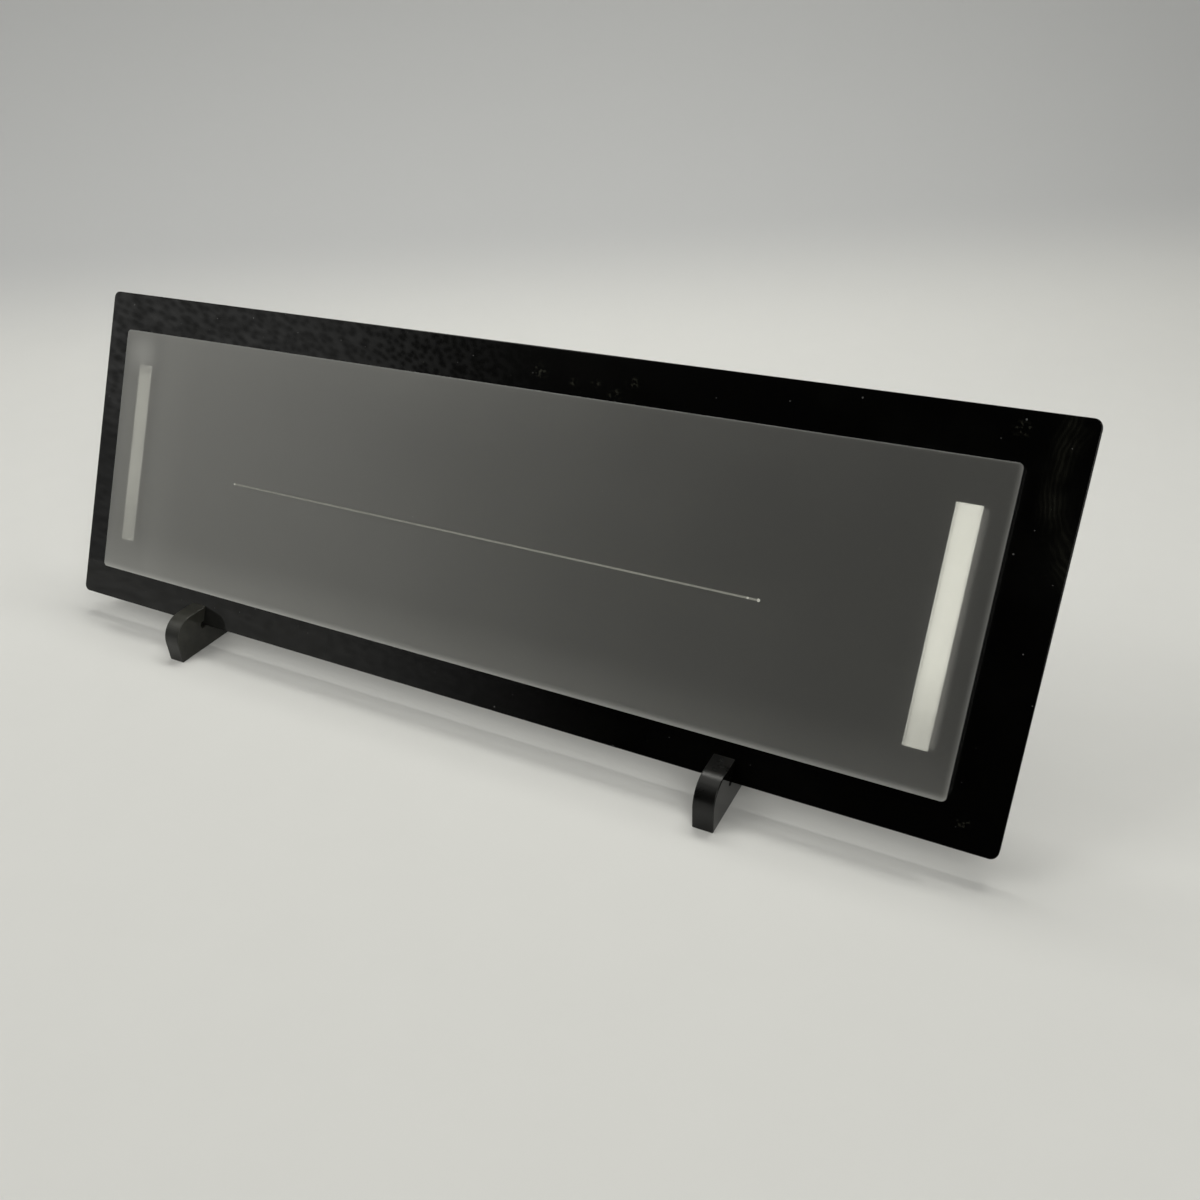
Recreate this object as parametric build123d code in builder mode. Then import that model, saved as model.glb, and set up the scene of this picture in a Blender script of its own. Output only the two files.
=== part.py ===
# Desk name plate: a leaning sheet with a smaller clear panel taped to its front, standing in two feet.
# Millimetres, +Z up, front towards -Y, origin on the desk under the middle of the whole plate.
import os
from math import cos, radians, sin

from build123d import *

# Backing plate, a sheet that leans back
plate_width = 250.0
plate_height = 83.0
plate_thickness = 3.0
plate_corner = 1.7
plate_lean = 27.0

# Front panel, set in from the edges of the plate and placed by hand a little below its middle
panel_thickness = 3.0
panel_corner = 1.1
panel_side_border = 11.0
panel_lower_border = 9.15
panel_upper_border = 9.8

# Foam tape strips between the plate and the panel, laid by hand near the panel's ends
tape_width = 5.0
tape_thickness = 0.8
tape_gap_below = 8.25
tape_gap_above = 8.6
left_tape_inset = 3.8
right_tape_inset = 5.4

# Feet cut from sheet, each with a slot for the plate's lower edge
foot_thickness = 4.8
seat_height = 6.5
hook_rise = 4.5
toe_reach = 9.3
heel_reach = 30.0
foot_round = 6.0
left_foot_inset = 43.7
right_foot_inset = 56.0
slot_clearance = 0.2
slot_relief = 0.9

# Rounding that cutting and polishing leave on the edges of the sheets
sheet_edge_round = 0.2
foot_edge_round = 0.25

# Sizes that follow from those above
panel_width = plate_width - 2 * panel_side_border
panel_height = plate_height - panel_lower_border - panel_upper_border
panel_centre_height = panel_lower_border + panel_height / 2
tape_length = panel_height - tape_gap_below - tape_gap_above
tape_centre_height = panel_lower_border + tape_gap_below + tape_length / 2
foot_height = seat_height + hook_rise
slot_width = plate_thickness + slot_clearance

# The plate's upper rear edge is the rearmost point, unless the feet reach further back
lean_sin = sin(radians(plate_lean))
lean_cos = cos(radians(plate_lean))
plate_reach = (
    (plate_height - sheet_edge_round) * lean_sin
    + (plate_thickness - sheet_edge_round) * lean_cos
    + sheet_edge_round
)
back_reach = max(plate_reach, heel_reach)

# The lower front edge of the plate, placed so that the whole depth is centred on the origin
edge_y = (toe_reach - back_reach) / 2

# Front face of the plate: X along its length, Y up its slope, Z out of the front
plate_front = Plane(
    origin=(0, edge_y, seat_height),
    x_dir=(1, 0, 0),
    z_dir=(0, -lean_cos, lean_sin),
)
panel_back = plate_front.offset(tape_thickness)

os.makedirs("parts", exist_ok=True)


def write_piece(piece, name):
    piece.part.label = name
    export_step(piece.part, f"parts/{name}.step")


# Backing plate
with BuildPart() as backing_plate:
    with BuildSketch(plate_front):
        with Locations((0, plate_height / 2)):
            RectangleRounded(plate_width, plate_height, plate_corner)
    extrude(amount=-plate_thickness)
    fillet(backing_plate.faces().filter_by(plate_front).edges(), sheet_edge_round)
write_piece(backing_plate, "backing_plate")

# Front panel, standing off the plate by the thickness of the tape
with BuildPart() as front_panel:
    with BuildSketch(panel_back):
        with Locations((0, panel_centre_height)):
            RectangleRounded(panel_width, panel_height, panel_corner)
    extrude(amount=panel_thickness)
    fillet(front_panel.faces().filter_by(panel_back).edges(), sheet_edge_round)
write_piece(front_panel, "front_panel")

# Tape strips, each set in from its end of the panel
tape_centres = {
    "left_tape_strip": -panel_width / 2 + left_tape_inset + tape_width / 2,
    "right_tape_strip": panel_width / 2 - right_tape_inset - tape_width / 2,
}
for tape_name, tape_x in tape_centres.items():
    with BuildPart() as tape_strip:
        with BuildSketch(plate_front):
            with Locations((tape_x, tape_centre_height)):
                Rectangle(tape_width, tape_length)
        extrude(amount=tape_thickness)
    write_piece(tape_strip, tape_name)

# Feet: a bar with rounded ends on top, cut by a slot that leans like the plate
foot_centres = {
    "left_foot": -plate_width / 2 + left_foot_inset,
    "right_foot": plate_width / 2 - right_foot_inset,
}
for foot_name, foot_x in foot_centres.items():
    foot_middle = Plane.YZ.offset(foot_x)
    # The slot's plane: X through the plate from front to back, Y up its slope, origin at mid slot
    slot_middle = Plane(
        origin=plate_front.from_local_coords((foot_x, 0, -plate_thickness / 2)),
        x_dir=-plate_front.z_dir,
        z_dir=(1, 0, 0),
    )
    with BuildPart() as foot:
        with BuildSketch(foot_middle) as outline:
            with Locations((edge_y - toe_reach, 0)):
                Rectangle(toe_reach + heel_reach, foot_height, align=(Align.MIN, Align.MIN))
            fillet(outline.vertices().group_by(Axis.Y)[-1], foot_round)
        extrude(amount=foot_thickness / 2, both=True)
        fillet(foot.faces().filter_by(foot_middle).edges(), foot_edge_round)
        with BuildSketch(slot_middle):
            Rectangle(slot_width, plate_height, align=(Align.CENTER, Align.MIN))
            with Locations((-slot_width / 2, 0), (slot_width / 2, 0)):
                Circle(slot_relief)
        extrude(amount=foot_thickness, both=True, mode=Mode.SUBTRACT)
    write_piece(foot, foot_name)
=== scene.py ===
# Looks of the desk name plate: black acrylic sheet, frosted clear panel, white foam tape, two feet.
# Metres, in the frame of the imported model: +Z up, front towards -Y.
from math import cos, pi, radians, sin

import bpy
from mathutils import Matrix, Vector


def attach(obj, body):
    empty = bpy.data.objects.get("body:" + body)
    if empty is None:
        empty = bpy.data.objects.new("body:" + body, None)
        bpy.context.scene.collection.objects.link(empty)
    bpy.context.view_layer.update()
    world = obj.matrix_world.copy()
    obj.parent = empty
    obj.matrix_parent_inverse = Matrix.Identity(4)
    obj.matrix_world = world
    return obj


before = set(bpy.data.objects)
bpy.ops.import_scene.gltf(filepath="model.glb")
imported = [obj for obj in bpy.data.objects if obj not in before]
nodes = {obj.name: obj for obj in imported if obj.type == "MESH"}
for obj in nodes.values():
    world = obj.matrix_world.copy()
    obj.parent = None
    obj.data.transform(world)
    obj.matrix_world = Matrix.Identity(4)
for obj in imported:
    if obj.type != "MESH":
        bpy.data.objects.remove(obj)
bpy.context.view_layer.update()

MM = 0.001

# The plate's own directions: along its length, up its slope, out of its front
PLATE_LEAN = radians(27)
ALONG = Vector((1, 0, 0))
UP_SLOPE = Vector((0, sin(PLATE_LEAN), cos(PLATE_LEAN)))
OUTWARD = Vector((0, -cos(PLATE_LEAN), sin(PLATE_LEAN)))

# The frame's directions: towards the front, and up
FORWARD = Vector((0, -1, 0))
UPWARD = Vector((0, 0, 1))

# How square to a direction a face starts and ends to count as facing it
FACE_RANGE = (0.90, 0.99)


def extent(node, direction):
    """Lowest and highest reach of a node along a direction."""
    reach = [direction.dot(vertex.co) for vertex in nodes[node].data.vertices]
    return min(reach), max(reach)


def grey(level):
    return (level, level, level, 1)


def add_object(name, data):
    """A new object in the scene."""
    item = bpy.data.objects.new(name, data)
    bpy.context.scene.collection.objects.link(item)
    return item


class Tree:
    """A material's or the world's node tree, with short calls to add nodes and link them."""

    def __init__(self, owner):
        owner.use_nodes = True
        self.tree = owner.node_tree
        self.tree.nodes.clear()

    def add(self, kind, settings=None, **inputs):
        """A node whose inputs, given by lower-case name or as in0, in1, are values or sockets."""
        node = self.tree.nodes.new(kind)
        for name, value in (settings or {}).items():
            setattr(node, name, value)
        for name, value in inputs.items():
            self.set(node, name, value)
        return node

    def set(self, node, name, value):
        """Give an input a value or link a socket to it."""
        if name.startswith("in") and name[2:].isdigit():
            socket = node.inputs[int(name[2:])]
        else:
            socket = next(s for s in node.inputs if s.name.lower().replace(" ", "_") == name)
        if isinstance(value, bpy.types.NodeSocket):
            self.tree.links.new(value, socket)
        else:
            socket.default_value = value

    def math(self, operation, first, second=0.0, clamp=False):
        settings = {"operation": operation, "use_clamp": clamp}
        return self.add("ShaderNodeMath", settings, in0=first, in1=second).outputs[0]

    def times(self, first, *others):
        for other in others:
            first = self.math("MULTIPLY", first, other)
        return first

    def plus(self, first, *others):
        for other in others:
            first = self.math("ADD", first, other)
        return first

    def vector_math(self, operation, first, second):
        return self.add("ShaderNodeVectorMath", {"operation": operation}, in0=first, in1=second)

    def dot(self, vector, direction):
        return self.vector_math("DOT_PRODUCT", vector, direction).outputs["Value"]

    def flat(self, x, y):
        """A point of a plane, from its two measures."""
        return self.add("ShaderNodeCombineXYZ", x=x, y=y).outputs[0]

    def ramp(self, value, low, high, to_low=0.0, to_high=1.0):
        """Smooth step from to_low at low to to_high at high."""
        node = self.add(
            "ShaderNodeMapRange",
            {"interpolation_type": "SMOOTHSTEP"},
            value=value,
            from_min=low,
            from_max=high,
            to_min=to_low,
            to_max=to_high,
        )
        return node.outputs["Result"]

    def mix(self, factor, first, second):
        """Mix of two colours."""
        node = self.add("ShaderNodeMix", {"data_type": "RGBA"}, in0=factor, in6=first, in7=second)
        return node.outputs[2]

    def between(self, factor, first, second):
        """Mix of two plain values."""
        return self.add("ShaderNodeMix", in0=factor, in2=first, in3=second).outputs[0]

    def blend(self, factor, first, second):
        """Mix of two shader nodes."""
        return self.add("ShaderNodeMixShader", in0=factor, in1=first.outputs[0], in2=second.outputs[0])

    def noise(self, vector, scale, detail, roughness):
        node = self.add(
            "ShaderNodeTexNoise",
            vector=vector,
            scale=scale,
            detail=detail,
            roughness=roughness,
        )
        return node.outputs["Fac"]

    def cells(self, flat, size):
        """Cells of a plane, about size apart."""
        settings = {"voronoi_dimensions": "2D"}
        return self.add("ShaderNodeTexVoronoi", settings, vector=flat, scale=1 / size)

    def place(self):
        """The point on the piece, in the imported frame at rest."""
        return self.add("ShaderNodeTexCoord").outputs["Object"]

    def true_normal(self):
        return self.add("ShaderNodeNewGeometry").outputs["True Normal"]

    def output(self, shader, kind="ShaderNodeOutputMaterial"):
        self.add(kind, surface=shader.outputs[0])


def new_material(name):
    material = bpy.data.materials.new(name)
    return material, Tree(material)


def on_sheet(tree, place):
    """The point's place on a leaning sheet: along it, up its slope, and both as one flat point."""
    x = tree.dot(place, ALONG)
    u = tree.dot(place, UP_SLOPE)
    return x, u, tree.flat(x, u)


def specks(tree, flat, cell, size, share):
    """Small dots on a sheet, one in some of the cells: 1 on a dot and 0 elsewhere."""
    cells = tree.cells(flat, cell)
    pick = tree.add("ShaderNodeSeparateColor", color=cells.outputs["Color"])
    chosen = tree.math("LESS_THAN", pick.outputs[0], share)
    reach = tree.times(pick.outputs[1], size / cell)
    dot = tree.math("LESS_THAN", cells.outputs["Distance"], reach)
    return tree.times(dot, chosen)


def distance_from(tree, flat, centre, stretch=1.0):
    """Distance on the sheet from a centre, with the way up the slope counted stretch times."""
    offset = tree.vector_math("SUBTRACT", flat, (*centre, 0)).outputs[0]
    scaled = tree.vector_math("MULTIPLY", offset, (1, stretch, 0)).outputs[0]
    return tree.add("ShaderNodeVectorMath", {"operation": "LENGTH"}, in0=scaled).outputs["Value"]


# Noises below are given as scale, detail and roughness

# Finger marks on the plate's front, in millimetres: place along it from its middle, height up its
# slope from its lower edge, and reach
DABS = (
    (10.3, 77.6, 3.0),
    (19.2, 76.3, 1.6),
    (24.6, 76.6, 1.6),
    (29.5, 74.9, 2.4),
    (33.2, 77.8, 2.2),
    (112.0, 79.5, 2.5),
    (117.5, 5.5, 2.0),
)
DAB_STRETCH = 1.3
DAB_NOISE = (1250, 3, 0.65)
DAB_NOISE_RANGE = (0.50, 0.64)

# Ridged smear on the plate's front, a stretch of a squeezed ring
SMEAR_X = 127.5 * MM
SMEAR_HEIGHT = 72.0 * MM
SMEAR_RADIUS = 8.0 * MM
SMEAR_SQUEEZE = 0.5
SMEAR_HALF_WIDTH = 3.5 * MM
SMEAR_RIDGE = 0.9 * MM
SMEAR_WOBBLE = 3 * MM
SMEAR_WOBBLE_NOISE = (160, 2, 0.5)
SMEAR_SINE_RANGE = (-0.6, 1.0)
SMEAR_VALLEY = 0.35
SMEAR_NOISE = (120, 3, 0.6)
SMEAR_NOISE_RANGE = (0.35, 0.65)
SMEAR_LEVEL = 0.30


def finger_marks(tree, place, flat, low_u):
    """Pale dabs near the edges and a ridged, curved smear in the upper right corner."""
    patch = tree.ramp(tree.noise(place, *DAB_NOISE), *DAB_NOISE_RANGE)
    dabs = 0.0
    for x, u, reach in DABS:
        away = distance_from(tree, flat, (x * MM, low_u + u * MM), DAB_STRETCH)
        dabs = tree.plus(dabs, tree.times(tree.ramp(away, 0, reach * MM, 1, 0), patch))
    away = distance_from(tree, flat, (SMEAR_X, low_u + SMEAR_HEIGHT), SMEAR_SQUEEZE)
    wobble = tree.times(tree.noise(place, *SMEAR_WOBBLE_NOISE), SMEAR_WOBBLE)
    turns = tree.math("DIVIDE", tree.plus(away, wobble), SMEAR_RIDGE / (2 * pi))
    ridge = tree.ramp(tree.math("SINE", turns), *SMEAR_SINE_RANGE, SMEAR_VALLEY, 1)
    off = tree.math("ABSOLUTE", tree.math("SUBTRACT", away, SMEAR_RADIUS))
    band = tree.ramp(off, 0, SMEAR_HALF_WIDTH, 1, 0)
    cloud = tree.ramp(tree.noise(place, *SMEAR_NOISE), *SMEAR_NOISE_RANGE, 0, SMEAR_LEVEL)
    return tree.math("ADD", dabs, tree.times(band, ridge, cloud), clamp=True)


# Pale band painted along the plate's lower border near the left foot: painted reflected light, in place
# of part of the left wall's reflection
BORDER_LIGHT_TOP = 8.5 * MM
BORDER_LIGHT_SOFTNESS = 1 * MM
BORDER_LIGHT_FULL_X = -60 * MM
BORDER_LIGHT_END_X = 15 * MM


def border_light_band(tree, x, u, low_u):
    top = low_u + BORDER_LIGHT_TOP
    across = tree.ramp(x, BORDER_LIGHT_FULL_X, BORDER_LIGHT_END_X, 1, 0)
    return tree.times(across, tree.ramp(u, top, top + BORDER_LIGHT_SOFTNESS, 1, 0))


# Painted glow of light on the plate beside the right strip
HALO_WIDTH = 2.0 * MM
HALO_START = -0.1 * MM
HALO_SOFTNESS = 1 * MM
HALO_FALL = 2.0


def strip_halo(tree, x, u):
    strip_end = extent("right_tape_strip", ALONG)[1]
    low_u, high_u = extent("right_tape_strip", UP_SLOPE)
    fall = tree.math("POWER", tree.ramp(x, strip_end, strip_end + HALO_WIDTH, 1, 0), HALO_FALL)
    above = tree.ramp(u, low_u, low_u + HALO_SOFTNESS)
    below = tree.ramp(u, high_u - HALO_SOFTNESS, high_u, 1, 0)
    beside = tree.math("GREATER_THAN", x, strip_end + HALO_START)
    return tree.times(fall, above, below, beside)


# Tones, gloss, smudges and dust of the plate, and the tones of its painted light
CLEAN_BLACK = (0.0002, 0.0002, 0.0001, 1)
SMUDGED_BLACK = (0.0006, 0.0006, 0.0004, 1)
BORDER_LIGHT_TONE = (0.0120, 0.0120, 0.0112, 1)
HALO_TONE = (0.16, 0.16, 0.152, 1)
FINGER_TONE = (0.030, 0.030, 0.023, 1)
DUST_TONE = grey(0.10)
DUST_CELL = 8 * MM
DUST_SIZE = 0.18 * MM
DUST_SHARE = 0.8
DUST_ROUGHNESS = 0.8
SMUDGE_NOISE = (38, 4, 0.55)
SMUDGE_NOISE_RANGE = (0.48, 0.72)
PLATE_ROUGHNESS = (0.32, 0.40)
PLATE_IOR = 1.12
PLATE_COAT = (0.90, 0.76)
PLATE_COAT_ROUGHNESS = 0.03
ACRYLIC_IOR = 1.49


def plate_acrylic():
    """Black sheet with a polished face, satin cut edges, a little dust, finger marks, and painted
    light: a pale band near the left foot and a halo beside the right strip.
    """
    material, tree = new_material("black_plate")
    place = tree.place()
    x, u, flat = on_sheet(tree, place)
    low_u = extent("backing_plate", UP_SLOPE)[0]
    facing = tree.dot(tree.true_normal(), OUTWARD)
    polished = tree.ramp(tree.math("ABSOLUTE", facing), *FACE_RANGE)
    front = tree.ramp(facing, *FACE_RANGE)
    smudge = tree.ramp(tree.noise(place, *SMUDGE_NOISE), *SMUDGE_NOISE_RANGE)
    dust = specks(tree, flat, DUST_CELL, DUST_SIZE, DUST_SHARE)
    base = tree.mix(smudge, CLEAN_BLACK, SMUDGED_BLACK)
    # Painted reflected light: a pale band along the lower border near the left foot
    base = tree.mix(tree.times(front, border_light_band(tree, x, u, low_u)), base, BORDER_LIGHT_TONE)
    # Painted glow: a pale halo on the plate beside the right strip
    base = tree.mix(tree.times(front, strip_halo(tree, x, u)), base, HALO_TONE)
    base = tree.mix(tree.times(front, finger_marks(tree, place, flat, low_u)), base, FINGER_TONE)
    base = tree.mix(dust, base, DUST_TONE)
    roughness = tree.ramp(smudge, 0, 1, *PLATE_ROUGHNESS)
    roughness = tree.math("MAXIMUM", roughness, tree.times(dust, DUST_ROUGHNESS))
    shader = tree.add(
        "ShaderNodeBsdfPrincipled",
        base_color=base,
        roughness=roughness,
        ior=PLATE_IOR,
        coat_weight=tree.times(polished, tree.ramp(smudge, 0, 1, *PLATE_COAT)),
        coat_roughness=PLATE_COAT_ROUGHNESS,
        coat_ior=ACRYLIC_IOR,
    )
    tree.output(shader)
    return material


# Smudges, painted light and gloss of the feet
FOOT_NOISE = (140, 4, 0.55)
FOOT_NOISE_RANGE = (0.3, 0.7)
FOOT_PAINTED_LIGHT_SPREAD = (0.7, 1.3)
FOOT_BLACK = (0, 0, 0, 1)
FOOT_PAINTED_LIGHT_TINT = (1, 1, 0.85, 1)
NOSE_RANGE = (0.5, 0.95)
NOSE_PAINTED_LIGHT_SHARE = 0.4
FOOT_SATIN = (0.27, 0.34)
FOOT_GLOSS = (0.04, 0.07)
FOOT_IOR = 1.41


def foot_acrylic(node, painted_light_level):
    """Thicker black sheet: polished sides, satin cut edges, and patchy painted light that lifts its
    tone, less on the faces towards the front.
    """
    material, tree = new_material(node + "_acrylic")
    normal = tree.true_normal()
    polished = tree.ramp(tree.math("ABSOLUTE", tree.dot(normal, ALONG)), *FACE_RANGE)
    smudge = tree.noise(tree.place(), *FOOT_NOISE)
    nose = tree.ramp(tree.dot(normal, FORWARD), *NOSE_RANGE, 1, NOSE_PAINTED_LIGHT_SHARE)
    # Painted light: a pale patchy tint, more on the left foot, standing in for how light falls on it
    painted_light = tree.times(tree.ramp(smudge, *FOOT_NOISE_RANGE, *FOOT_PAINTED_LIGHT_SPREAD), painted_light_level, nose)
    satin = tree.ramp(smudge, *FOOT_NOISE_RANGE, *FOOT_SATIN)
    gloss = tree.ramp(smudge, *FOOT_NOISE_RANGE, *FOOT_GLOSS)
    shader = tree.add(
        "ShaderNodeBsdfPrincipled",
        base_color=tree.mix(painted_light, FOOT_BLACK, FOOT_PAINTED_LIGHT_TINT),
        roughness=tree.between(polished, satin, gloss),
        ior=FOOT_IOR,
    )
    tree.output(shader)
    return material


# Haze of the panel's matt face: colour without and with the painted glow near the edges, strength,
# gloss
HAZE_DIM = (0.64, 0.64, 0.614, 1)
HAZE_BRIGHT = (0.97, 0.97, 0.93, 1)
HAZE_NOISE = (45, 3, 0.5)
HAZE_NOISE_RANGE = (0.3, 0.7)
HAZE_STRENGTH = (0.159, 0.174)
HAZE_SLANT = 0.94
HAZE_SLANT_BLEND = 0.5
HAZE_ROUGHNESS = 0.34
HAZE_IOR = 2.4
# Share of the haze that goes on into the sheet instead of back out of it, and its colour there
HAZE_THROUGH = 0.35
HAZE_THROUGH_TONE = grey(0.9)
# Share of what is seen through the sheet that the matt face blurs, and the roughness of that
HAZE_BLUR = 0.25
HAZE_BLUR_ROUGHNESS = 0.28
# Share of the haze that keeps lamps from shining through
HAZE_SHADE = 0.3

# Painted glow of the haze and painted rim of brighter haze along the panel's edges, light that entered
# by the cut edges, each as reach and level
LOWER_GLOW = (13 * MM, 0.68)
RIGHT_GLOW = (12 * MM, 0.06)
UPPER_GLOW = (10 * MM, 0.10)
LOWER_RIM = (1.7 * MM, 0.27)
RIGHT_RIM = (1.3 * MM, 0.16)
UPPER_RIM = (0.8 * MM, 0.03)
# Soft band of painted glow beside the left strip, from the panel's left edge
BAND_START = 12 * MM
BAND_PEAK = 17 * MM
BAND_END = 28 * MM
BAND_LEVEL = 0.18
# Spot of painted glow, as stronger haze, above the left strip
SPOT_RISE = 3 * MM
SPOT_REACH = 7 * MM
SPOT_LEVEL = 0.24

# Cut sides of the panel: how far a face turns from the front to count as one, tone (painted lighter on
# the lower side and darker on the upper, as light falls), haze and shade
SIDE_RANGE = (0.6, 0.98)
SIDE_SLOPE_RANGE = (-0.2, 0.6)
SIDE_TONES = (0.22, 0.06)
SIDE_HAZE_RANGE = (0.1, 0.6)
SIDE_HAZE = (0.03, 0.40)
SIDE_SHADE = 0.9
REAR_LIMIT = -0.9

# Lint on the panel's front
LINT_CELL = 21 * MM
LINT_SIZE = 0.16 * MM
LINT_SHARE = 0.6
LINT_STRENGTH = 0.6


def near_edges(tree, x, u, lower, right, upper):
    """Sum of levels that fade away from the panel's lower, right and upper edges."""
    high_x = extent("front_panel", ALONG)[1]
    low_u, high_u = extent("front_panel", UP_SLOPE)
    return tree.plus(
        tree.ramp(u, low_u, low_u + lower[0], lower[1], 0),
        tree.ramp(x, high_x - right[0], high_x, 0, right[1]),
        tree.ramp(u, high_u - upper[0], high_u, 0, upper[1]),
    )


def panel_glow(tree, x, u):
    """Brightness painted into the haze above its dim tone, standing in for light that entered by the
    cut edges.
    """
    low_x = extent("front_panel", ALONG)[0]
    rise = tree.ramp(x, low_x + BAND_START, low_x + BAND_PEAK, 0, BAND_LEVEL)
    fall = tree.ramp(x, low_x + BAND_PEAK, low_x + BAND_END, 1, 0)
    edges = near_edges(tree, x, u, LOWER_GLOW, RIGHT_GLOW, UPPER_GLOW)
    return tree.plus(edges, tree.times(rise, fall))


def face_haze(tree, place, x, u, flat):
    """Strength of the haze on the panel's front face."""
    cloud = tree.ramp(tree.noise(place, *HAZE_NOISE), *HAZE_NOISE_RANGE, *HAZE_STRENGTH)
    grazing = tree.add("ShaderNodeLayerWeight", blend=HAZE_SLANT_BLEND).outputs["Facing"]
    slant = tree.times(grazing, HAZE_SLANT)
    lint = tree.times(specks(tree, flat, LINT_CELL, LINT_SIZE, LINT_SHARE), LINT_STRENGTH)
    strip_x = 0.5 * sum(extent("left_tape_strip", ALONG))
    strip_top = extent("left_tape_strip", UP_SLOPE)[1]
    beyond = distance_from(tree, flat, (strip_x, strip_top + SPOT_RISE))
    return tree.plus(
        tree.math("MAXIMUM", tree.plus(cloud, slant), lint),
        # Painted light: a rim of brighter haze along the edges
        near_edges(tree, x, u, LOWER_RIM, RIGHT_RIM, UPPER_RIM),
        # Painted glow: a spot of stronger haze above the left strip
        tree.ramp(beyond, 0, SPOT_REACH, SPOT_LEVEL, 0),
    )


def frosted_acrylic():
    """Clear sheet with a matt front, painted brighter towards the cut edges, which let light into it.
    """
    material, tree = new_material("frosted_acrylic")
    place = tree.place()
    x, u, flat = on_sheet(tree, place)
    lamp_ray = tree.add("ShaderNodeLightPath").outputs["Is Shadow Ray"]

    # The face's outer side counts, also where the ray meets it from inside the sheet
    surface = tree.add("ShaderNodeNewGeometry")
    normal = surface.outputs["True Normal"]
    outside = tree.math("SUBTRACT", 1.0, tree.times(surface.outputs["Backfacing"], 2.0))
    facing = tree.times(tree.dot(normal, OUTWARD), outside)
    rising = tree.times(tree.dot(normal, UP_SLOPE), outside)
    upright = tree.math("ABSOLUTE", facing)
    is_side = tree.ramp(upright, *SIDE_RANGE, 1, 0)
    is_rear = tree.math("LESS_THAN", facing, REAR_LIMIT)

    # Painted glow: the haze is brighter near the edges and in a band beside the left strip
    base = tree.mix(panel_glow(tree, x, u), HAZE_DIM, HAZE_BRIGHT)
    # Painted light: the cut sides' tone runs from lighter on the lower side to darker on the upper
    base = tree.mix(is_side, base, tree.ramp(rising, *SIDE_SLOPE_RANGE, *SIDE_TONES))
    scatter = tree.add(
        "ShaderNodeBsdfPrincipled",
        base_color=base,
        roughness=HAZE_ROUGHNESS,
        ior=HAZE_IOR,
    )
    through = tree.add("ShaderNodeBsdfTranslucent", color=HAZE_THROUGH_TONE)
    haze = tree.blend(HAZE_THROUGH, scatter, through)

    blur = tree.ramp(facing, *SIDE_RANGE, 0.0, HAZE_BLUR_ROUGHNESS)
    sharp = tree.add("ShaderNodeBsdfRefraction", roughness=0.0, ior=ACRYLIC_IOR)
    soft = tree.add("ShaderNodeBsdfRefraction", roughness=blur, ior=ACRYLIC_IOR)
    bent = tree.blend(HAZE_BLUR, sharp, soft)
    straight = tree.add("ShaderNodeBsdfTransparent")
    clear = tree.blend(lamp_ray, bent, straight)

    shade = tree.ramp(lamp_ray, 0, 1, 1, HAZE_SHADE)
    alpha = tree.times(face_haze(tree, place, x, u, flat), shade)
    alpha = tree.times(alpha, tree.math("SUBTRACT", 1.0, is_side))
    side_haze = tree.ramp(upright, *SIDE_HAZE_RANGE, *SIDE_HAZE)
    side_haze = tree.math("MAXIMUM", side_haze, tree.times(lamp_ray, SIDE_SHADE))
    alpha = tree.plus(alpha, tree.times(is_side, side_haze))
    alpha = tree.times(alpha, tree.math("SUBTRACT", 1.0, is_rear))
    tree.output(tree.blend(alpha, clear, haze))
    return material


# Foam of the tape: its cells, and the tones of patches that have not wetted out and of clean ones
FOAM_CELL = 0.45 * MM
FOAM_RELIEF = 0.05 * MM
FOAM_BUMP = 0.4
FOAM_ROUGHNESS = 0.85
FOAM_NOISE = (160, 3, 0.5)
FOAM_DULL = 0.04
FOAM_CLEAN = 0.03
FOAM_DULL_BLUE = 0.93
FOAM_CLEAN_BLUE = 0.96
# Share of the tone kept under painted shade on the cut sides, lower end, margins, crease and left side
# of a strip
CUT_RANGE = (0.4, 0.9)
CUT_SHADE_SHARE = 0.2
LOWER_END = 0.4
MARGIN_STEP = 0.85
CREASE_PLACE = 0.9
CREASE_WIDTHS = (0.07 * MM, 0.14 * MM)
CREASE_SHADE_SHARE = 0.70
LEFT_SHADE_WIDTH = 1.8 * MM
LEFT_SHADE_SHARE = 0.95


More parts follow.
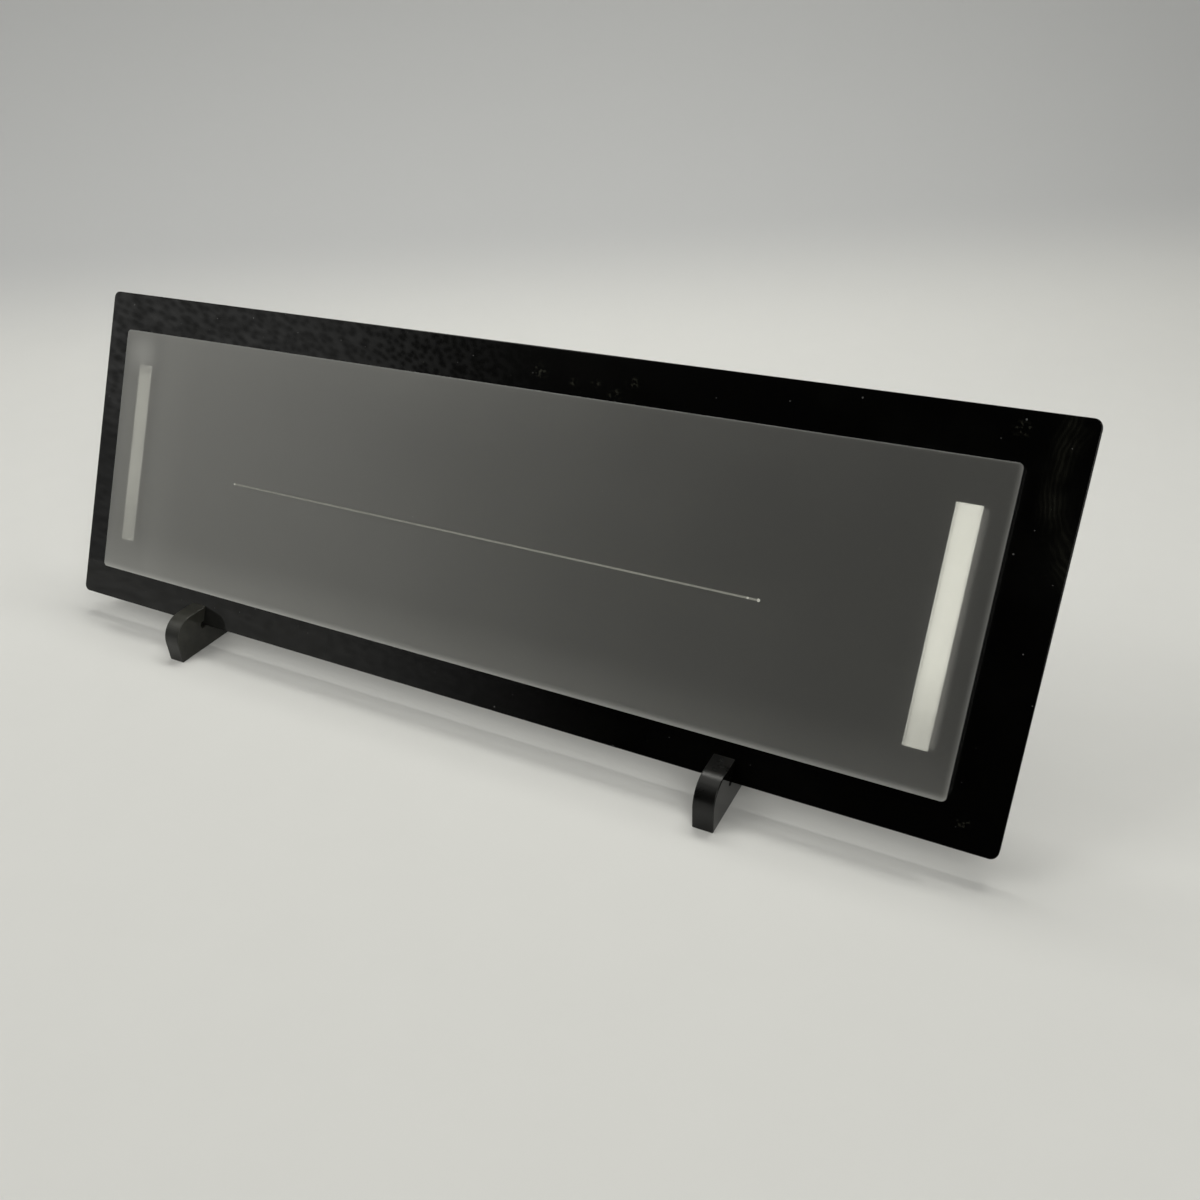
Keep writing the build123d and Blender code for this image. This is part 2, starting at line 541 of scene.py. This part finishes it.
def foam_tape(node, tone, lower_shade_share, margin, margin_shade_share):
    """White closed-cell foam with painted shade on its cut sides, at its lower end, along its margins,
    in a line near its left edge and towards its left side.
    """
    material, tree = new_material(node + "_foam")
    place = tree.place()
    x = tree.dot(place, ALONG)
    low_x, high_x = extent(node, ALONG)
    low_u, high_u = extent(node, UP_SLOPE)
    cells = tree.add("ShaderNodeTexVoronoi", vector=place, scale=1 / FOAM_CELL)
    dull = (tone - FOAM_DULL, tone - FOAM_DULL, FOAM_DULL_BLUE * tone - FOAM_DULL, 1)
    clean = (tone + FOAM_CLEAN, tone + FOAM_CLEAN, FOAM_CLEAN_BLUE * tone, 1)
    base = tree.mix(tree.noise(place, *FOAM_NOISE), dull, clean)
    end_top = low_u + LOWER_END * (high_u - low_u)
    lower_shade = tree.ramp(tree.dot(place, UP_SLOPE), low_u, end_top, lower_shade_share, 1)
    faced = tree.math("ABSOLUTE", tree.dot(tree.true_normal(), OUTWARD))
    edge = tree.math("MINIMUM", tree.math("SUBTRACT", x, low_x), tree.math("SUBTRACT", high_x, x))
    crease = tree.math("ABSOLUTE", tree.math("SUBTRACT", x, low_x + CREASE_PLACE * margin))
    # Painted shade: darker cut sides, lower end, margins, a line near the left edge and the left side
    share = tree.times(
        lower_shade,
        tree.ramp(faced, *CUT_RANGE, CUT_SHADE_SHARE, 1),
        tree.ramp(edge, MARGIN_STEP * margin, margin, margin_shade_share, 1),
        tree.ramp(crease, *CREASE_WIDTHS, CREASE_SHADE_SHARE, 1),
        tree.ramp(x, low_x, low_x + LEFT_SHADE_WIDTH, LEFT_SHADE_SHARE, 1),
    )
    bump = tree.add(
        "ShaderNodeBump",
        strength=FOAM_BUMP,
        distance=FOAM_RELIEF,
        height=cells.outputs["Distance"],
    )
    scaled = tree.add("ShaderNodeVectorMath", {"operation": "SCALE"}, in0=base, scale=share)
    shader = tree.add(
        "ShaderNodeBsdfPrincipled",
        base_color=scaled.outputs[0],
        roughness=FOAM_ROUGHNESS,
        normal=bump.outputs[0],
    )
    tree.output(shader)
    return material


# Fine rule cut across the panel's front as a pale etched line, its height from the panel's lower edge
RULE_HALF_LENGTH = 70.6 * MM
RULE_WIDTH = 0.43 * MM
RULE_HEIGHT = 29.70 * MM
RULE_RELIEF = 0.015 * MM
RULE_LEVEL = 0.28
# Dots along the rule: place from its middle and radius, in millimetres
RULE_DOTS = ((-70.3, 0.28), (68.4, 0.26), (70.7, 0.36))
DOT_LEVEL = 0.60
DOT_RELIEF = 2 * RULE_RELIEF
# Faces round each end of a bar
ROUND_STEPS = 8

# Darkest and lightest tint of the etched surface, and its grain
ETCH_DARK = (0.8, 0.8, 0.73)
ETCH_LIGHT = (1.2, 1.2, 1.1)
ETCH_NOISE = (420, 3, 0.6)
ETCH_ROUGHNESS = 0.75


def etched_acrylic(name, level):
    material, tree = new_material(name)
    dark = (*(level * part for part in ETCH_DARK), 1)
    light = (*(level * part for part in ETCH_LIGHT), 1)
    base = tree.mix(tree.noise(tree.place(), *ETCH_NOISE), dark, light)
    tree.output(tree.add("ShaderNodeBsdfPrincipled", base_color=base, roughness=ETCH_ROUGHNESS))
    return material


def rounded_bar(centre, half_length, radius, low, high):
    """Vertices and faces of a thin bar with round ends that lies on the panel."""
    outline = []
    for end in (1, -1):
        for step in range(ROUND_STEPS + 1):
            turn = radians(-90 + 180 * step / ROUND_STEPS)
            run = end * (half_length - radius + radius * cos(turn))
            outline.append(centre + ALONG * run + UP_SLOPE * (end * radius * sin(turn)))
    count = len(outline)
    vertices = [point + OUTWARD * level for level in (low, high) for point in outline]
    faces = [tuple(reversed(range(count))), tuple(range(count, 2 * count))]
    faces += [(i, (i + 1) % count, count + (i + 1) % count, count + i) for i in range(count)]
    return vertices, faces


def make_rule():
    """The rule and the paler dots where the cutter dwelt near its ends."""
    middle = ALONG * 0.5 * sum(extent("front_panel", ALONG))
    middle += UP_SLOPE * (extent("front_panel", UP_SLOPE)[0] + RULE_HEIGHT)
    front = extent("front_panel", OUTWARD)[1]
    bars = [(0.0, RULE_HALF_LENGTH, RULE_WIDTH / 2, RULE_RELIEF, 0)]
    bars += [(place * MM, radius * MM, radius * MM, DOT_RELIEF, 1) for place, radius in RULE_DOTS]
    vertices = []
    faces = []
    slots = []
    for place, half_length, radius, relief, slot in bars:
        centre = middle + ALONG * place
        points, sides = rounded_bar(centre, half_length, radius, front - RULE_RELIEF, front + relief)
        faces += [tuple(len(vertices) + i for i in side) for side in sides]
        slots += [slot] * len(sides)
        vertices += points
    mesh = bpy.data.meshes.new("engraved_rule")
    mesh.from_pydata(vertices, [], faces)
    mesh.materials.append(etched_acrylic("etched_line", RULE_LEVEL))
    mesh.materials.append(etched_acrylic("etched_dot", DOT_LEVEL))
    mesh.polygons.foreach_set("material_index", slots)
    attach(add_object("engraved_rule", mesh), "name_plate")


# How much light is painted on each foot, and how each strip looks, with its painted shade
FEET = {"left_foot": 0.030, "right_foot": 0.004}
TAPES = {
    # The left strip is the same foam as the right one; its lower tone is painted shade
    "left_tape_strip": {
        "tone": 0.52,
        "lower_shade_share": 0.99,
        "margin": 0.30 * MM,
        "margin_shade_share": 0.1,
    },
    "right_tape_strip": {
        "tone": 0.91,
        "lower_shade_share": 0.71,
        "margin": 0.50 * MM,
        "margin_shade_share": 0.82,
    },
}


def dress(node, material):
    mesh = nodes[node].data
    mesh.materials.clear()
    mesh.materials.append(material)


def dress_all():
    dress("backing_plate", plate_acrylic())
    for node, painted_light_level in FEET.items():
        dress(node, foot_acrylic(node, painted_light_level))
    dress("front_panel", frosted_acrylic())
    for node, looks in TAPES.items():
        dress(node, foam_tape(node, **looks))


# Camera
CAMERA_PLACE = Vector((0.1316, -0.1753, 0.1553))
CAMERA_AZIMUTH = radians(29.28)
CAMERA_DOWN = radians(32.94)
CAMERA_ROLL = radians(-2.91)
CAMERA_LENS = 31.99
CAMERA_SENSOR = 36
CAMERA_SHIFT = 0.0252
CAMERA_CLIP = 0.01
CAMERA_RIGHT = Vector((cos(CAMERA_AZIMUTH), sin(CAMERA_AZIMUTH), 0))
CAMERA_AHEAD = Vector((-sin(CAMERA_AZIMUTH), cos(CAMERA_AZIMUTH), 0))


def make_camera():
    data = bpy.data.cameras.new("camera")
    data.sensor_width = CAMERA_SENSOR
    data.lens = CAMERA_LENS
    data.shift_y = CAMERA_SHIFT
    data.clip_start = CAMERA_CLIP
    ahead = CAMERA_AHEAD * cos(CAMERA_DOWN) - UPWARD * sin(CAMERA_DOWN)
    above = CAMERA_RIGHT.cross(ahead)
    right = CAMERA_RIGHT * cos(CAMERA_ROLL) + above * sin(CAMERA_ROLL)
    up = above * cos(CAMERA_ROLL) - CAMERA_RIGHT * sin(CAMERA_ROLL)
    turn = Matrix((right, up, -ahead)).transposed().to_4x4()
    camera = add_object("camera", data)
    camera.matrix_world = Matrix.Translation(CAMERA_PLACE) @ turn
    bpy.context.scene.camera = camera


# Paper sweep behind and under the object, square to the camera
SWEEP_START = 0.20
SWEEP_RADIUS = 0.16
SWEEP_HEIGHT = 0.4
SWEEP_FRONT = -3.0
SWEEP_HALF_WIDTH = 3.0
SWEEP_STEPS = 24
PAPER_DARK = (0.70, 0.70, 0.69, 1)
PAPER_LIGHT = (0.72, 0.72, 0.71, 1)
# Painted shade on the rising part of the paper
PAPER_RISE_SHADE = (0.523, 0.528, 0.538, 1)
PAPER_RISE_HEIGHT = 0.045
PAPER_NOISE = (60, 4, 0.6)
PAPER_ROUGHNESS = 0.9
PAPER_SPECULAR = 0.1


def sweep_profile():
    """Points along the sweep, as distance behind the object and height."""
    points = [(SWEEP_FRONT, 0.0), (SWEEP_START, 0.0)]
    for step in range(1, SWEEP_STEPS + 1):
        turn = radians(90) * step / SWEEP_STEPS
        points.append((SWEEP_START + SWEEP_RADIUS * sin(turn), SWEEP_RADIUS * (1 - cos(turn))))
    points.append((SWEEP_START + SWEEP_RADIUS, SWEEP_HEIGHT))
    return points


def sweep_paper():
    """Pale paper, painted greyer where it rises behind the object, as shade."""
    material, tree = new_material("sweep_paper")
    place = tree.place()
    paper = tree.mix(tree.noise(place, *PAPER_NOISE), PAPER_DARK, PAPER_LIGHT)
    rise = tree.ramp(tree.dot(place, UPWARD), 0.0, PAPER_RISE_HEIGHT)
    shader = tree.add(
        "ShaderNodeBsdfPrincipled",
        base_color=tree.mix(rise, paper, PAPER_RISE_SHADE),
        roughness=PAPER_ROUGHNESS,
        specular_ior_level=PAPER_SPECULAR,
    )
    tree.output(shader)
    return material


def make_sweep():
    vertices = []
    for distance, height in sweep_profile():
        for side in (-SWEEP_HALF_WIDTH, SWEEP_HALF_WIDTH):
            vertices.append(CAMERA_AHEAD * distance + CAMERA_RIGHT * side + UPWARD * height)
    faces = [(i, i + 1, i + 3, i + 2) for i in range(0, len(vertices) - 2, 2)]
    mesh = bpy.data.meshes.new("sweep")
    mesh.from_pydata(vertices, [], faces)
    mesh.polygons.foreach_set("use_smooth", [True] * len(faces))
    mesh.materials.append(sweep_paper())
    add_object("sweep", mesh)


# Dim surroundings that the gloss shows, darker where the studio is open in front
OPEN_FRONT = Vector((-0.05, -0.97, 0.24))
OPEN_RANGE = (0.68, 0.86)
ROOM_LEVEL = grey(0.07)
OPEN_LEVEL = grey(0.006)


def make_world():
    world = bpy.data.worlds.new("studio")
    bpy.context.scene.world = world
    tree = Tree(world)
    ahead = tree.add("ShaderNodeTexCoord").outputs["Generated"]
    front = tree.ramp(tree.dot(ahead, OPEN_FRONT), *OPEN_RANGE)
    level = tree.mix(front, ROOM_LEVEL, OPEN_LEVEL)
    tree.output(tree.add("ShaderNodeBackground", color=level), "ShaderNodeOutputWorld")


# Wall on the left that only the gloss shows: dimpled foil above, plain below, fading to the right
WALL_TURN = radians(60)
WALL_AWAY = 0.55
WALL_HALF_WIDTH = 0.52
WALL_FOOT = 0.002
WALL_HEIGHT = 0.46
WALL_TINT = (1, 1, 0.97, 1)
WALL_STRENGTH = 0.49
WALL_FADE_SLANT = 0.755
WALL_FADE_RANGE = (0.26, 0.60)
FOIL_HEIGHTS = (0.15, 0.20)
PLAIN_SHARE = 0.55
DIMPLE_SIZE = 0.0050
DIMPLE_SQUEEZE = 0.8
DIMPLE_RANGE = (0.14, 0.56)
DIMPLE_FADE_RANGE = (0.15, 0.95)
DIMPLE_DEPTHS = (1.9, 0.50)
STREAK_SQUEEZE = 0.4
STREAK_NOISE = (260, 3, 0.6)
STREAK_RANGE = (0.30, 0.70)
STREAK_LEVELS = (1.36, 0.70)


def tent_foil(across):
    """Glow of the wall, uneven in streaks, with darker dimples that deepen as it fades."""
    material, tree = new_material("tent_foil")
    place = tree.place()
    side = tree.dot(place, across)
    height = tree.dot(place, UPWARD)
    slant = tree.plus(side, tree.times(height, WALL_FADE_SLANT))
    fade = tree.ramp(slant, *WALL_FADE_RANGE, 1, 0)
    foil = tree.ramp(height, *FOIL_HEIGHTS)
    dimples = tree.cells(tree.flat(tree.times(side, DIMPLE_SQUEEZE), height), DIMPLE_SIZE)
    dimple = tree.ramp(dimples.outputs["Distance"], *DIMPLE_RANGE, 1, 0)
    depth = tree.ramp(fade, *DIMPLE_FADE_RANGE, *DIMPLE_DEPTHS)
    lit = tree.math("SUBTRACT", 1.0, tree.times(dimple, foil, depth), clamp=True)
    streak = tree.noise(tree.flat(tree.times(side, STREAK_SQUEEZE), height), *STREAK_NOISE)
    uneven = tree.ramp(streak, *STREAK_RANGE, *STREAK_LEVELS)
    share = tree.ramp(foil, 0, 1, PLAIN_SHARE, 1)
    strength = tree.times(lit, uneven, share, fade, WALL_STRENGTH)
    tree.output(tree.add("ShaderNodeEmission", color=WALL_TINT, strength=strength))
    return material


def make_wall():
    away = Vector((-sin(WALL_TURN), -cos(WALL_TURN), 0))
    across = Vector((-away.y, away.x, 0))
    corners = [
        away * WALL_AWAY + across * side * WALL_HALF_WIDTH + UPWARD * height
        for height in (WALL_FOOT, WALL_HEIGHT)
        for side in (-1, 1)
    ]
    mesh = bpy.data.meshes.new("tent_wall")
    mesh.from_pydata(corners, [], [(0, 1, 3, 2)])
    mesh.materials.append(tent_foil(across))
    wall = add_object("tent_wall", mesh)
    wall.visible_camera = False
    wall.visible_shadow = False


# Soft lamps: name, place, target, width and height, power
LAMPS = (
    ("back_softbox", (0.0, 0.235, 0.56), (0, 0, 0), (0.6, 0.15), 2.03),
    ("top_softbox", (0.0, -0.08, 0.75), (0, 0, 0), (0.7, 0.35), 0.80),
    ("left_softbox", (-0.42, -0.32, 0.55), (0, 0, 0.03), (0.35, 0.3), 1.18),
    ("front_right_softbox", (0.44, -0.40, 0.40), (0, 0, 0.04), (0.36, 0.36), 1.25),
)
LAMP_TINT = (1.0, 0.995, 0.935)


def make_lamps():
    for name, place, target, size, power in LAMPS:
        data = bpy.data.lights.new(name, "AREA")
        data.shape = "RECTANGLE"
        data.size, data.size_y = size
        data.energy = power
        data.color = LAMP_TINT
        lamp = add_object(name, data)
        lamp.location = place
        lamp.rotation_euler = (Vector(target) - Vector(place)).to_track_quat("-Z", "Y").to_euler()


dress_all()
make_rule()
make_camera()
make_sweep()
make_world()
make_wall()
make_lamps()
bpy.context.scene.view_settings.view_transform = "Standard"
